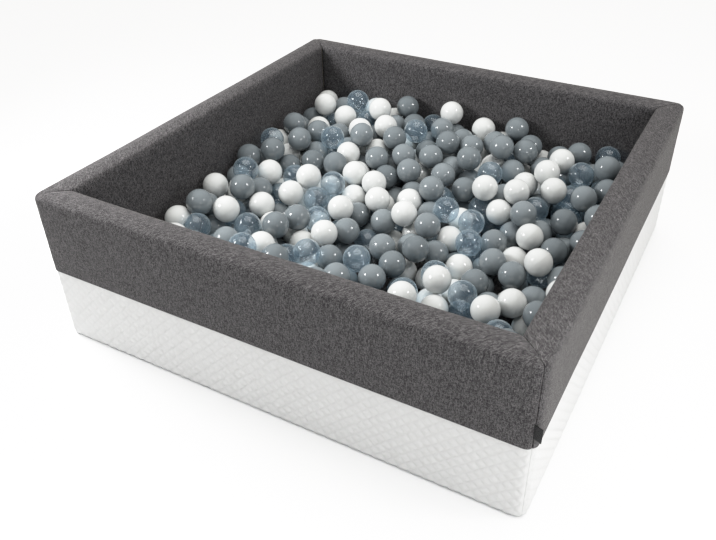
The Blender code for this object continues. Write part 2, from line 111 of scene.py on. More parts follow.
class Book:
    def __init__(self, name):
        self.material = bpy.data.materials.new(name)
        self.material.use_nodes = True
        self.tree = self.material.node_tree
        self.tree.nodes.clear()

    def node(self, kind, settings=None, inputs=None, output=0):
        made = self.tree.nodes.new(kind)
        for key, value in (settings or {}).items():
            setattr(made, key, value)
        for key, value in (inputs or {}).items():
            if isinstance(value, Signal):
                self.tree.links.new(value.socket, made.inputs[key])
            else:
                made.inputs[key].default_value = value
        return Signal(self, made.outputs[output]) if len(made.outputs) else None

    def value(self, operation, first, second):
        return self.node("ShaderNodeMath", {"operation": operation}, {0: first, 1: second})

    def place(self):
        return self.node("ShaderNodeTexCoord", output="Object")

    def attribute(self, name, output="Vector"):
        return self.node("ShaderNodeAttribute", {"attribute_name": name}, output=output)

    def split(self, vector):
        first = self.node("ShaderNodeSeparateXYZ", inputs={0: vector})
        outputs = first.socket.node.outputs
        return first, Signal(self, outputs[1]), Signal(self, outputs[2])

    def join(self, x, y, z=0.0):
        return self.node("ShaderNodeCombineXYZ", inputs={0: x, 1: y, 2: z})

    def scaled(self, vector, x, y, z):
        return self.node("ShaderNodeVectorMath", {"operation": "MULTIPLY"}, {0: vector, 1: (x, y, z)})

    def noise(self, vector, scale, detail=2.0, roughness=0.5):
        inputs = {"Vector": vector, "Scale": scale, "Detail": detail, "Roughness": roughness}
        return self.node("ShaderNodeTexNoise", inputs=inputs)

    def chance(self, x, y):
        # a number from 0 to 1 that is the same all over each whole pair of x and y
        inputs = {"Vector": self.join(x, y)}
        return self.node("ShaderNodeTexWhiteNoise", {"noise_dimensions": "2D"}, inputs)

    def spread(self, signal, low, high, newLow=0.0, newHigh=1.0):
        inputs = {0: signal, 1: low, 2: high, 3: newLow, 4: newHigh}
        return self.node("ShaderNodeMapRange", {"clamp": True}, inputs)

    def mix(self, factor, first, second):
        colours = [c if isinstance(c, Signal) else (*c, 1) for c in (first, second)]
        inputs = {0: factor, 6: colours[0], 7: colours[1]}
        return self.node("ShaderNodeMix", {"data_type": "RGBA"}, inputs, 2)

    def bump(self, height, distance, strength=1.0):
        inputs = {"Height": height, "Distance": distance, "Strength": strength}
        return self.node("ShaderNodeBump", inputs=inputs)

    def principled(self, inputs):
        return self.node("ShaderNodeBsdfPrincipled", inputs=inputs)

    def finish(self, shader):
        self.node("ShaderNodeOutputMaterial", inputs={"Surface": shader})
        return self.material


# Materials

charcoalLook = {
    "dark": (0.017, 0.016, 0.0175),
    "light": (0.147, 0.141, 0.142),
    "threadPitch": 0.0012,
    "slubWidth": 0.0011,
    "slubLength": 0.0045,
    "warpDash": 0.0058,
    "weftDash": 0.0032,
    "relief": 0.0002,
    "roughness": 0.95,
    "sheen": 0.1,
    "sheenTone": (1.0, 0.94, 0.88),
    "sheenRoughness": 0.32,
}


def makeCharcoal():
    look = charcoalLook
    book = Book("charcoalWeave")
    cloth = book.attribute("weave")
    across, up = book.split(cloth)[:2]
    thin, long = 1 / look["slubWidth"], 1 / look["slubLength"]
    warpSlub = book.spread(book.noise(book.scaled(cloth, thin, long, 3), 1.0, 2, 0.5), 0.38, 0.62)
    weftSlub = book.spread(book.noise(book.scaled(cloth, long, thin, 5), 1.0, 2, 0.5), 0.38, 0.62)
    # each thread is dyed in dashes, and the weave brings warp and weft up in turn
    column = (across / look["threadPitch"]).math("FLOOR")
    row = (up / look["threadPitch"]).math("FLOOR")
    warpDash = (up / look["warpDash"] + column * 0.37).math("FLOOR")
    weftDash = (across / look["weftDash"] + row * 0.43).math("FLOOR")
    warpDye = book.chance(column, warpDash)
    weftDye = book.chance(row, weftDash)
    warpUp = ((column + row) * 0.5).math("FRACT") > 0.25
    dye = warpDye * warpUp + weftDye * (1 - warpUp)
    tone = warpSlub * 0.15 + weftSlub * 0.07 + dye * 0.78
    # painted shade: the colour is made lighter along each thread's crown and darker where it dips under the
    # next, as the weave's relief would shade it; the same crown also raises the bump
    turn = math.pi / look["threadPitch"]
    crown = ((across * turn).math("SINE") * (up * turn).math("SINE")).math("ABSOLUTE")
    toneWithPaintedThreadShade = book.spread(tone, 0.08, 0.92) ** 1.9 * (crown * 0.74 + 0.7)
    colour = book.mix(toneWithPaintedThreadShade, look["dark"], look["light"])
    height = crown * 0.5 + warpSlub * 0.45 + dye * 0.2
    return book.finish(book.principled({
        "Base Color": colour,
        "Roughness": look["roughness"],
        "Sheen Weight": look["sheen"],
        "Sheen Roughness": look["sheenRoughness"],
        "Sheen Tint": (*look["sheenTone"], 1),
        "Specular IOR Level": 0.2,
        "Normal": book.bump(height, look["relief"]),
    }))


quiltLook = {
    "face": (0.705, 0.705, 0.695),
    # painted shade: the colour of the stitched channels between the puffs
    "channel": (0.68, 0.68, 0.67),
    "knitPitch": 0.0016,
    "relief": 0.00025,
    "roughness": 0.85,
    "sheen": 0.3,
}


def makeQuilt():
    look = quiltLook
    book = Book("whiteQuilt")
    cloth = book.attribute("weave")
    across, up = book.split(cloth)[:2]
    channel = book.attribute("channel", "Fac")
    turn = 2 * math.pi / look["knitPitch"]
    knit = (across * turn).math("SINE") * (up * turn * 0.8).math("SINE")
    cloud = book.noise(cloth, 14.0, 3)
    # painted shade darkens the stitched channels; the cloud is the cloth's own mottle
    shade = channel * 0.75 + book.spread(cloud, 0.3, 0.7) * 0.25
    return book.finish(book.principled({
        "Base Color": book.mix(shade, look["face"], look["channel"]),
        "Roughness": look["roughness"],
        "Sheen Weight": look["sheen"],
        "Sheen Roughness": 0.5,
        "Specular IOR Level": 0.3,
        "Normal": book.bump(knit + book.noise(cloth, 900.0, 2) * 0.8, look["relief"]),
    }))


baseClothLook = {
    "low": (0.70, 0.70, 0.69), "high": (0.76, 0.76, 0.75), "roughness": 0.9,
    "threadPitch": 0.0009, "relief": 0.0002,
}


def makeBaseCloth():
    look = baseClothLook
    book = Book("baseCloth")
    place = book.place()
    across, up = book.split(place)[:2]
    turn = 2 * math.pi / look["threadPitch"]
    weave = (across * turn).math("SINE") * (up * turn).math("SINE")
    cloud = book.noise(place, 20.0, 3)
    return book.finish(book.principled({
        "Base Color": book.mix(cloud, look["low"], look["high"]),
        "Roughness": look["roughness"],
        "Normal": book.bump(weave, look["relief"]),
    }))


foamLook = {
    "low": (0.82, 0.78, 0.62), "high": (0.88, 0.85, 0.72), "roughness": 0.95,
    "cellsPerMetre": 700.0, "relief": 0.0006,
}


def makeFoam():
    look = foamLook
    book = Book("foam")
    place = book.place()
    inputs = {"Vector": place, "Scale": look["cellsPerMetre"]}
    cells = book.node("ShaderNodeTexVoronoi", inputs=inputs)
    return book.finish(book.principled({
        "Base Color": book.mix(book.noise(place, 30.0, 3), look["low"], look["high"]),
        "Roughness": look["roughness"],
        "Normal": book.bump(cells, look["relief"]),
    }))


labelLook = {
    "low": (0.004, 0.004, 0.0045), "high": (0.012, 0.012, 0.013), "roughness": 0.55,
    "ribPitch": 0.0006, "relief": 0.0001,
}


def makeLabelCloth():
    look = labelLook
    book = Book("labelBlack")
    place = book.place()
    high = book.split(place)[2]
    ribs = (high * (2 * math.pi / look["ribPitch"])).math("SINE")
    fleck = book.noise(place, 1500.0, 2)
    return book.finish(book.principled({
        "Base Color": book.mix(fleck, look["low"], look["high"]),
        "Roughness": look["roughness"],
        "Specular IOR Level": 0.3,
        "Normal": book.bump(ribs, look["relief"]),
    }))


nylonLook = {
    "low": (0.78, 0.78, 0.77), "high": (0.85, 0.85, 0.84), "roughness": (0.42, 0.55),
    "relief": 0.00008,
}


def makeNylon():
    look = nylonLook
    book = Book("zipNylon")
    place = book.place()
    cloud = book.noise(place, 60.0, 3)
    return book.finish(book.principled({
        "Base Color": book.mix(cloud, look["low"], look["high"]),
        "Roughness": book.spread(cloud, 0.3, 0.7, *look["roughness"]),
        "Normal": book.bump(book.noise(place, 1800.0, 2), look["relief"]),
    }))


metalLook = {
    "low": (0.34, 0.34, 0.35), "high": (0.46, 0.46, 0.47), "roughness": (0.22, 0.42),
    "relief": 0.00004,
}


def makeZipMetal():
    look = metalLook
    book = Book("zipMetal")
    place = book.place()
    wear = book.noise(place, 300.0, 4)
    return book.finish(book.principled({
        "Base Color": book.mix(wear, look["low"], look["high"]),
        "Metallic": 1.0,
        "Roughness": book.spread(wear, 0.3, 0.7, *look["roughness"]),
        "Normal": book.bump(wear, look["relief"]),
    }))


ballLooks = {
    "grey": {"low": (0.092, 0.108, 0.117), "high": (0.182, 0.208, 0.221), "roughness": (0.08, 0.12)},
    "white": {"low": (0.55, 0.565, 0.556), "high": (0.625, 0.64, 0.631), "roughness": (0.08, 0.13)},
}


def makeBallPlastic(name):
    look = ballLooks[name]
    book = Book(name + "Plastic")
    place = book.place()
    tone = book.attribute("ballTone", "Fac")
    haze = book.noise(place, 55.0, 3)
    shade = book.spread(tone * 0.8 + haze * 0.2, 0.0, 1.0)
    return book.finish(book.principled({
        "Base Color": book.mix(shade, look["low"], look["high"]),
        "Roughness": book.spread(haze, 0.3, 0.7, *look["roughness"]),
        "Specular IOR Level": 0.85,
        "Normal": book.bump(book.noise(place, 90.0, 2), 0.0002),
    }))


clearLook = {
    "smoke": (0.15, 0.21, 0.26), "rimHazeAndReflection": (0.46, 0.56, 0.61), "tint": (0.88, 0.92, 0.945),
    "smokeShare": 0.11, "rimHazeAndReflectionShare": 0.6, "roughness": 0.03, "ior": 1.47, "wall": 0.0006,
}


def makeClearPlastic():
    look = clearLook
    book = Book("clearPlastic")
    place = book.place()
    shell = book.principled({
        "Base Color": (*look["tint"], 1),
        "Roughness": look["roughness"],
        "IOR": look["ior"],
        "Transmission Weight": 1.0,
        "Normal": book.bump(book.noise(place, 90.0, 2), 0.00008),
    })
    edge = book.node("ShaderNodeLayerWeight", inputs={"Blend": 0.5}, output="Facing")
    smoke = book.principled({"Base Color": (*look["smoke"], 1), "Roughness": 0.25})
    # towards the grazing edge a pale layer is mixed in: partly haze along the longer path through the wall,
    # partly a painted reflection of bright surroundings
    rimHazeAndReflection = book.principled({"Base Color": (*look["rimHazeAndReflection"], 1), "Roughness": 0.25})
    shell = book.node("ShaderNodeMixShader", inputs={0: look["smokeShare"], 1: shell, 2: smoke})
    shell = book.node("ShaderNodeMixShader", inputs={0: edge ** 4 * look["rimHazeAndReflectionShare"], 1: shell, 2: rimHazeAndReflection})
    lampLight = book.node("ShaderNodeBsdfTransparent", inputs={0: (*look["tint"], 1)})
    path = book.node("ShaderNodeLightPath")
    through = [Signal(book, path.socket.node.outputs[name]) for name in ("Is Shadow Ray", "Is Diffuse Ray")]
    passed = through[0].math("MAXIMUM", through[1])
    return book.finish(book.node("ShaderNodeMixShader", inputs={0: passed, 1: shell, 2: lampLight}))


charcoalWeave = makeCharcoal()
whiteQuilt = makeQuilt()
baseCloth = makeBaseCloth()
foamBlock = makeFoam()
labelBlack = makeLabelCloth()
zipNylon = makeNylon()
zipMetal = makeZipMetal()
ballPlastics = {
    "grey": makeBallPlastic("grey"),
    "white": makeBallPlastic("white"),
    "clear": makeClearPlastic(),
}
print("materials made")


# Meshes

def addPiece(name, mesh, material, body="pit", slot=None, replaced=()):
    mesh.materials.clear()
    mesh.materials.append(material)
    piece = bpy.data.objects.new(name, mesh)
    scene.collection.objects.link(piece)
    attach(piece, body)
    if replaced:
        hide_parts(*replaced)
    return piece


def gridMesh(name, points):
    # points holds a sheet of places as an array of columns, rows and coordinates
    columns, rows = points.shape[:2]
    index = np.arange(columns * rows).reshape(columns, rows)
    faces = np.stack([index[:-1, :-1], index[1:, :-1], index[1:, 1:], index[:-1, 1:]], axis=-1)
    mesh = bpy.data.meshes.new(name)
    mesh.from_pydata(points.reshape(-1, 3).tolist(), [], faces.reshape(-1, 4).tolist())
    mesh.shade_smooth()
    return mesh


def ringsMesh(name, rings, closed=True):
    # rings holds the places of a row of closed rings as an array of rings, points and coordinates
    count, around = rings.shape[:2]
    index = np.arange(count * around).reshape(count, around)
    beside = np.roll(index, -1, axis=1)
    faces = np.stack([index[:-1], beside[:-1], beside[1:], index[1:]], axis=-1).reshape(-1, 4).tolist()
    if closed:
        faces += [index[0, ::-1].tolist(), index[-1].tolist()]
    mesh = bpy.data.meshes.new(name)
    mesh.from_pydata(rings.reshape(-1, 3).tolist(), [], faces)
    mesh.shade_smooth()
    return mesh


def storeOnPoints(mesh, name, kind, values):
    layer = mesh.attributes.new(name, kind, "POINT")
    field = "vector" if kind == "FLOAT_VECTOR" else "value"
    layer.data.foreach_set(field, np.ravel(values).astype(np.float32))


def smoothStep(share):
    share = np.clip(share, 0, 1)
    return share * share * (3 - 2 * share)


def arc(depth, height, radius, start, end, steps):
    turn = np.radians(np.linspace(start, end, steps + 1))
    return [(depth - radius * math.cos(a), height + radius * math.sin(a)) for a in turn]


def resample(path, step):
    # evenly spaced points along a path of (depth, height), with the distance run to each
    path = np.array(path)
    runs = np.concatenate([[0], np.cumsum(np.linalg.norm(np.diff(path, axis=0), axis=1))])
    count = max(2, round(runs[-1] / step)) + 1
    at = np.linspace(0, runs[-1], count)
    return np.stack([np.interp(at, runs, path[:, 0]), np.interp(at, runs, path[:, 1])], axis=1), at


def wallColumns(columnStep, cornerColumns):
    # (end, share of the half corner, share of the straight run) for each column of a wall's sheet
    corner = [(1 - i / cornerColumns) for i in range(cornerColumns)]
    straightCount = round(2 * (pit["half"] - pit["cornerRadius"]) / columnStep)
    left = [(-1, share, 0.0) for share in corner]
    middle = [(0, 0.0, i / straightCount) for i in range(straightCount + 1)]
    right = [(1, share, 1.0) for share in corner[::-1]]
    return left + middle + right


def planPoint(depth, share):
    # along and out of a point at this depth behind the outer face, on the way round the half corner
    swing = pit["cornerRadius"] - depth
    bend = share * quarterTurn / 2
    roundAlong = pit["half"] - pit["cornerRadius"] + swing * np.sin(bend)
    roundOut = pit["half"] - pit["cornerRadius"] + swing * np.cos(bend)
    squareAlong = pit["half"] - depth + swing * (1 - share)
    isRound = swing > 0
    return np.where(isRound, roundAlong, squareAlong), np.where(isRound, roundOut, pit["half"] - depth)


def wallSheet(section, columns, mitreGap):
    # The places of a wall's sheet in the wall's own frame: along, outwards as minus Y, and up
    depth, height = section[:, 0], section[:, 1]
    sheet = np.zeros((len(columns), len(section), 3))
    straightAlong, straightOut = planPoint(depth, 0.0)
    for i, (end, share, run) in enumerate(columns):
        if end:
            along, out = planPoint(depth, share)
            along = end * np.minimum(along, planPoint(depth, 1.0)[0] - mitreGap)
        else:
            along, out = (2 * run - 1) * straightAlong, straightOut
        sheet[i] = np.stack([along, -out, height], axis=1)
    return sheet


def foldIn(sheet, section, columns, mitreGap, depth):
    # adds a seam allowance at both mitres, turned in along the mitre plane
    slope = np.gradient(section, axis=0)
    slope /= np.linalg.norm(slope, axis=1, keepdims=True)
    inward = section + depth * np.stack([slope[:, 1], -slope[:, 0]], axis=1)
    fins = wallSheet(inward, [columns[0], columns[-1]], mitreGap)
    return np.concatenate([fins[:1], sheet, fins[1:]])


def sheetNormals(sheet):
    run = np.gradient(sheet, axis=0)
    rise = np.gradient(sheet, axis=1)
    normals = np.cross(run, rise)
    return normals / np.maximum(np.linalg.norm(normals, axis=2, keepdims=True), 1e-9)


def seamDistance(sheet):
    # how far each place lies along its row from the nearer mitre seam
    steps = np.linalg.norm(np.diff(sheet, axis=0), axis=2)
    runs = np.concatenate([np.zeros((1, sheet.shape[1])), np.cumsum(steps, axis=0)])
    return np.minimum(runs, runs[-1] - runs), runs


def weavePlaces(runs, heights, side):
    # along and up each wall, and a step for each, so that no two carry the same threads
    shift = np.full(runs.shape, side * 0.731)
    return np.stack([runs, np.broadcast_to(heights, runs.shape), shift], axis=2)


def ripple(places, size, seed):
    # smooth noise from -1 to 1 over an array of places
    flat = places.reshape(-1, 3) / size
    shift = Vector((seed * 7.31, seed * 3.17, seed * 5.03))
    values = [noise.noise(Vector(place) + shift) for place in flat]
    return np.array(values).reshape(places.shape[:-1])


def turned(mesh, side):
    mesh.transform(Matrix.Rotation(side * quarterTurn, 4, "Z"))


def pressOut(sheet, sewn, settings):
    # Blows the sheet out against its seams and caps how far each point has moved.
    start = np.zeros(len(sheet.data.vertices) * 3)
    sheet.data.vertices.foreach_get("co", start)
    start = start.reshape(-1, 3)
    group = sheet.vertex_groups.new(name="sewn")
    for weight in sorted(set(np.round(sewn, 2))):
        group.add(np.nonzero(np.round(sewn, 2) == weight)[0].tolist(), float(weight), "REPLACE")
    press = sheet.modifiers.new("press", "CLOTH")
    cloth = press.settings
    cloth.quality = settings["quality"]
    cloth.mass = settings["mass"]
    cloth.tension_stiffness = settings["stiffness"]
    cloth.compression_stiffness = settings["stiffness"]
    cloth.shear_stiffness = settings["shear"]
    cloth.bending_stiffness = settings["bending"]
    cloth.vertex_group_mass = "sewn"
    cloth.pin_stiffness = settings["hold"]
    cloth.shrink_min = settings["shrink"]
    cloth.use_pressure = True
    cloth.uniform_pressure_force = settings["pressure"]
    cloth.effector_weights.gravity = 0
    press.point_cache.frame_start = 1
    press.point_cache.frame_end = settings["frames"]
    for step in range(1, settings["frames"] + 1):
        scene.frame_set(step)
    graph = bpy.context.evaluated_depsgraph_get()
    pressed = sheet.evaluated_get(graph).to_mesh()
    ended = np.zeros(len(start) * 3)
    pressed.vertices.foreach_get("co", ended)
    sheet.evaluated_get(graph).to_mesh_clear()
    moved = ended.reshape(-1, 3) - start
    length = np.linalg.norm(moved, axis=1)
    most, usual = 1000 * float(length.max()), 1000 * float(np.median(length))
    print("cloth moved", round(most, 2), "mm at most and", round(usual, 2), "mm in the middle")
    kept = settings["cap"] * np.tanh(length / settings["cap"]) / np.maximum(length, 1e-9)
    capped = moved * kept[:, None]
    sheet.modifiers.remove(press)
    sheet.vertex_groups.clear()
    scene.frame_set(1)
    sheet.data.vertices.foreach_set("co", (start + capped).ravel())
    sheet.data.update()


# Upper covers: one woven sheet a wall, from the hem over the top and down the inside

upperCover = {
    "rowStep": 0.0052,
    "columnStep": 0.0105,
    "edgeRadius": 0.0100,
    "cornerColumns": 6,
    "inset": 0.0010,        # the sheet starts this far inside the frame's surface, because it swells
    "seamDepth": 0.0011,
    "seamReach": 0.0050,
    "puckerDepth": 0.0006,
    "puckerSize": 0.016,
    "puckerReach": 0.05,
    "waveDepth": 0.0007,
    "waveSize": 0.22,
    "thickness": 0.0022,
    "allowance": 0.006,
}
upperPress = {
    "quality": 4, "mass": 0.3, "stiffness": 30.0, "shear": 15.0, "bending": 2.0, "hold": 1.0,
    "shrink": 0.0, "pressure": 0.4, "frames": 14, "cap": 0.0018,
}


def upperSection():
    look = upperCover
    inset, edge = look["inset"], look["edgeRadius"]
    shoulder = pit["height"] - pit["crown"] - edge
    radius = edge - inset
    path = [(inset, pit["hem"] + pit["gap"])]
    path += arc(edge, shoulder, radius, 0, 90, 8)
    path += [(pit["wall"] / 2, pit["height"] - inset)]
    path += arc(pit["wall"] - edge, shoulder, radius, 90, 180, 8)
    path += [(pit["wall"] - inset, rimLow.z)]
    return resample(path, look["rowStep"])


def makeUpperCover(side):
    look = upperCover
    name = sideNames[side]
    section, heights = upperSection()
    columns = wallColumns(look["columnStep"], look["cornerColumns"])
    sheet = wallSheet(section, columns, pit["gap"] / math.sqrt(2))
    normals = sheetNormals(sheet)
    toSeam, runs = seamDistance(sheet)
    valley = look["seamDepth"] * np.exp(-(toSeam / look["seamReach"]) ** 1.5)
    pucker = look["puckerDepth"] * np.exp(-toSeam / look["puckerReach"])
    ripples = np.stack([toSeam * 0.25, np.broadcast_to(heights, toSeam.shape), sheet[:, :, 0]], axis=2)
    pucker = pucker * ripple(ripples, look["puckerSize"], side + 1) * smoothStep(toSeam / 0.004)
    wave = look["waveDepth"] * ripple(sheet, look["waveSize"], side + 11)
    sheet = sheet + normals * (pucker + wave - valley)[:, :, None]
    weave = weavePlaces(runs, heights, side)
    sheet = foldIn(sheet, section, columns, pit["gap"] / math.sqrt(2), look["allowance"])
    weave = np.concatenate([weave[:1], weave, weave[-1:]])
    toSeam = np.concatenate([toSeam[:1], toSeam, toSeam[-1:]])
    mesh = gridMesh(name + "_upper_panel", sheet)
    storeOnPoints(mesh, "weave", "FLOAT_VECTOR", weave)
    turned(mesh, side)
    piece = addPiece(mesh.name, mesh, charcoalWeave, slot="charcoal_weave", replaced=[name + "_upper_cover"])
    sewn = np.exp(-toSeam / 0.012)
    sewn = np.maximum(sewn, np.exp(-heights / 0.01)[None, :])
    sewn = np.maximum(sewn, np.exp(-(heights[-1] - heights) / 0.01)[None, :])
    sewn = np.where(sewn > 0.9, 1.0, 0.02 + 0.2 * sewn)
    pressOut(piece, sewn.ravel(), upperPress)
    cloth = piece.modifiers.new("cloth", "SOLIDIFY")
    cloth.thickness = look["thickness"]
    cloth.offset = -1
    cloth.use_even_offset = True
    smooth = piece.modifiers.new("smooth", "SUBSURF")
    smooth.levels = smooth.render_levels = 1
    return piece


for side in range(4):
    makeUpperCover(side)
print("upper covers made")


# Lower covers: quilted in small diamonds, with a rounded foot that turns under the pit

lowerCover = {
    "rowStep": 0.0030,
    "columnStep": 0.0030,
    "cornerColumns": 9,
    "turnUnder": 0.035,
    "diamondWidth": 0.0284,
    "diamondHeight": 0.0278,
    "channelShare": 0.27,
    "puff": 0.0024,
    "seamDepth": 0.0016,
    "seamReach": 0.006,
    "thickness": 0.0015,
}


def lowerSection():
    look = lowerCover
    centre = pit["hemOverhang"] + pit["footRadius"]
    path = [(pit["hemOverhang"], pit["hem"])]
    path += arc(centre, pit["footRadius"], pit["footRadius"], 0, -90, 8)
    path += [(look["turnUnder"], 0)]
    return resample(path, look["rowStep"])


def makeLowerCover(side):
    look = lowerCover
    name = sideNames[side]
    section, depths = lowerSection()
    columns = wallColumns(look["columnStep"], look["cornerColumns"])
    sheet = wallSheet(section, columns, pit["gap"] / math.sqrt(2))
    normals = -sheetNormals(sheet)
    toSeam, runs = seamDistance(sheet)
    down = np.broadcast_to(depths, runs.shape)
    across = runs / look["diamondWidth"]
    along = down / look["diamondHeight"]
    firstLine = np.abs((across + along) % 1 - 0.5) * 2
    secondLine = np.abs((across - along) % 1 - 0.5) * 2
    lineGap = (1 - np.maximum(firstLine, secondLine)) * look["diamondWidth"] / 2
    puff = smoothStep(lineGap / (look["diamondWidth"] * look["channelShare"])) ** 0.7
    underneath = smoothStep((pit["hem"] + 0.004 - down) / 0.008)
    flat = smoothStep(toSeam / 0.008) * underneath * smoothStep(down / 0.006)
    valley = look["seamDepth"] * np.exp(-(toSeam / look["seamReach"]) ** 1.5)
    rise = (puff - 1) * look["puff"] * flat - valley * underneath
    sheet = sheet + normals * rise[:, :, None]
    sheet[:, :, 2] = np.maximum(sheet[:, :, 2], 0)
    mesh = gridMesh(name + "_lower_panel", sheet[::-1])
    weave = weavePlaces(runs, down, side)
    storeOnPoints(mesh, "weave", "FLOAT_VECTOR", weave[::-1])
    # where painted shade darkens the quilt: the stitched channels between the puffs
    storeOnPoints(mesh, "channel", "FLOAT", ((1 - puff) * flat)[::-1])
    turned(mesh, side)
    piece = addPiece(mesh.name, mesh, whiteQuilt, slot="white_quilt", replaced=[name + "_lower_cover"])
    cloth = piece.modifiers.new("cloth", "SOLIDIFY")
    cloth.thickness = look["thickness"]
    cloth.offset = -1
    return piece


for side in range(4):
    makeLowerCover(side)
print("lower covers made")


# Foam blocks inside the walls, mitred like the covers

foamForm = {"inset": 0.0056, "step": 0.014, "columnStep": 0.05, "cornerColumns": 3, "sharpAngle": 35}


def makeWallFoam(side):
    look = foamForm
    name = sideNames[side]
    inset = look["inset"]
    shoulder = pit["height"] - pit["crown"] - pit["edgeRadius"]
    radius = pit["edgeRadius"] - inset
    footDepth = pit["hemOverhang"] + pit["footRadius"]
    footRadius = pit["footRadius"] - 0.003
    loop = arc(footDepth, pit["footRadius"], footRadius, -90, 0, 5)
    loop += [(pit["hemOverhang"] + 0.003, pit["hem"]), (inset, pit["hem"] + 0.006)]
    loop += arc(pit["edgeRadius"], shoulder, radius, 0, 90, 5)
    loop += [(pit["wall"] / 2, pit["height"] - inset)]
    loop += arc(pit["wall"] - pit["edgeRadius"], shoulder, radius, 90, 180, 5)
    loop += [(pit["wall"] - inset, rimLow.z + 0.0002), (footDepth + 0.01, rimLow.z + 0.0002)]
    section = resample(loop, look["step"])[0]
    rings = wallSheet(section, wallColumns(look["columnStep"], look["cornerColumns"]), 0.001)
    mesh = ringsMesh(name + "_foam_block", rings[::-1])
    mesh.set_sharp_from_angle(angle=math.radians(look["sharpAngle"]))
    turned(mesh, side)
    piece = addPiece(mesh.name, mesh, foamBlock, slot="foam", replaced=[name + "_wall_foam"])


for side in range(4):
    makeWallFoam(side)


# Floor: a padded mat inside the walls and a plain cloth stretched under it

def squareRing(half, corner, height, straightSteps, cornerSteps):
    # a square outline with rounded corners, from the middle of its right side round to the left
    corner = max(corner, 0.0001)
    ring = []
    for side in range(4):
        turn = side * quarterTurn
        straight = np.linspace(-1, 1, straightSteps + 1)[:-1] * (half - corner)
        points = [(half, place) for place in straight]
        for i in range(cornerSteps):
            bend = quarterTurn * i / cornerSteps
            swing = half - corner
            points.append((swing + corner * math.cos(bend), swing + corner * math.sin(bend)))
        c, s = math.cos(turn), math.sin(turn)
        ring += [(x * c - y * s, x * s + y * c, height) for x, y in points]
    return ring


matForm = {"edge": 0.010, "crown": 0.0016, "thickness": 0.0015}


def matRings(low, high, half, edge, crown):
    rings = []
    for height in np.linspace(low, high - edge - crown, 4):
        rings.append(squareRing(half, edge, height, 24, 4))
    for bend in np.linspace(15, 90, 6):
        inset = edge * (1 - math.cos(math.radians(bend)))
        height = high - edge - crown + edge * math.sin(math.radians(bend))
        rings.append(squareRing(half - inset, edge - inset * 0.5, height, 24, 4))
    for share in np.linspace(0, 1, 16)[1:]:
        reach = (half - edge) * (1 - share) + 0.01 * share
        height = high - crown + crown * float(smoothStep(share * 3))
        rings.append(squareRing(reach, edge * 0.5 * (1 - share) + 0.002, height, 24, 4))
    return np.array(rings)


def makeFloor():
    look = matForm
    rings = matRings(padLow.z, padHigh.z, padHigh.x, look["edge"], look["crown"])
    mesh = ringsMesh("floor_mat_cover", rings, closed=False)
    middle = [i for i in range(len(mesh.vertices) - rings.shape[1], len(mesh.vertices))]
    shape = bmesh.new()
    shape.from_mesh(mesh)
    shape.verts.ensure_lookup_table()
    shape.faces.new([shape.verts[i] for i in middle])
    shape.to_mesh(mesh)
    shape.free()
    mesh.shade_smooth()
    flat = rings.reshape(-1, 3)
    storeOnPoints(mesh, "weave", "FLOAT_VECTOR", flat[:, [0, 1, 2]] + np.array([3.1, 2.7, 0]))
    cover = addPiece(mesh.name, mesh, charcoalWeave, slot="charcoal_weave", replaced=["floor_cover"])
    cloth = cover.modifiers.new("cloth", "SOLIDIFY")
    cloth.thickness = look["thickness"]
    cloth.offset = -1
    foamLow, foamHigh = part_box("floor_foam")
    rings = matRings(foamLow.z, foamHigh.z, foamHigh.x - 0.0004, look["edge"] * 0.8, look["crown"])
    mesh = ringsMesh("floor_mat_foam", rings)
    filling = addPiece(mesh.name, mesh, foamBlock, slot="foam", replaced=["floor_foam"])


makeFloor()


baseForm = {
    "step": 0.012, "low": 0.0003, "thickness": 0.0012, "sag": 0.0005, "waveSize": 0.09,
    "seamInset": 0.006, "seamWidth": 0.004, "seamDepth": 0.0002,
}


def makeBase():
    look = baseForm
    half = baseHigh.x
    count = round(2 * half / look["step"]) + 1
    line = np.linspace(-half, half, count)
    x, y = np.meshgrid(line, line, indexing="ij")
    sheet = np.stack([x, y, np.zeros_like(x)], axis=2)
    edge = half - np.maximum(np.abs(x), np.abs(y))
    stitch = look["seamDepth"] * np.exp(-((edge - look["seamInset"]) / look["seamWidth"]) ** 2)
    rise = look["sag"] * (0.5 + 0.5 * ripple(sheet, look["waveSize"], 5)) * smoothStep(edge / 0.02)
    sheet[:, :, 2] = look["low"] + look["thickness"] + rise - stitch
    mesh = gridMesh("base_sheet", sheet)
    piece = addPiece(mesh.name, mesh, baseCloth, slot="base_cloth", replaced=["base_cover"])
    cloth = piece.modifiers.new("cloth", "SOLIDIFY")
    cloth.thickness = look["thickness"]
    cloth.offset = -1


makeBase()
print("foam and floor made")


# Blank tab folded into the seam of the front right corner

tabForm = {
    "length": 0.0142, "root": 0.005, "height": 0.034, "ply": 0.0005, "fold": 0.00045,
    "swing": -16, "curl": 0.0007, "rows": 14, "edgeWave": 0.00025,
}


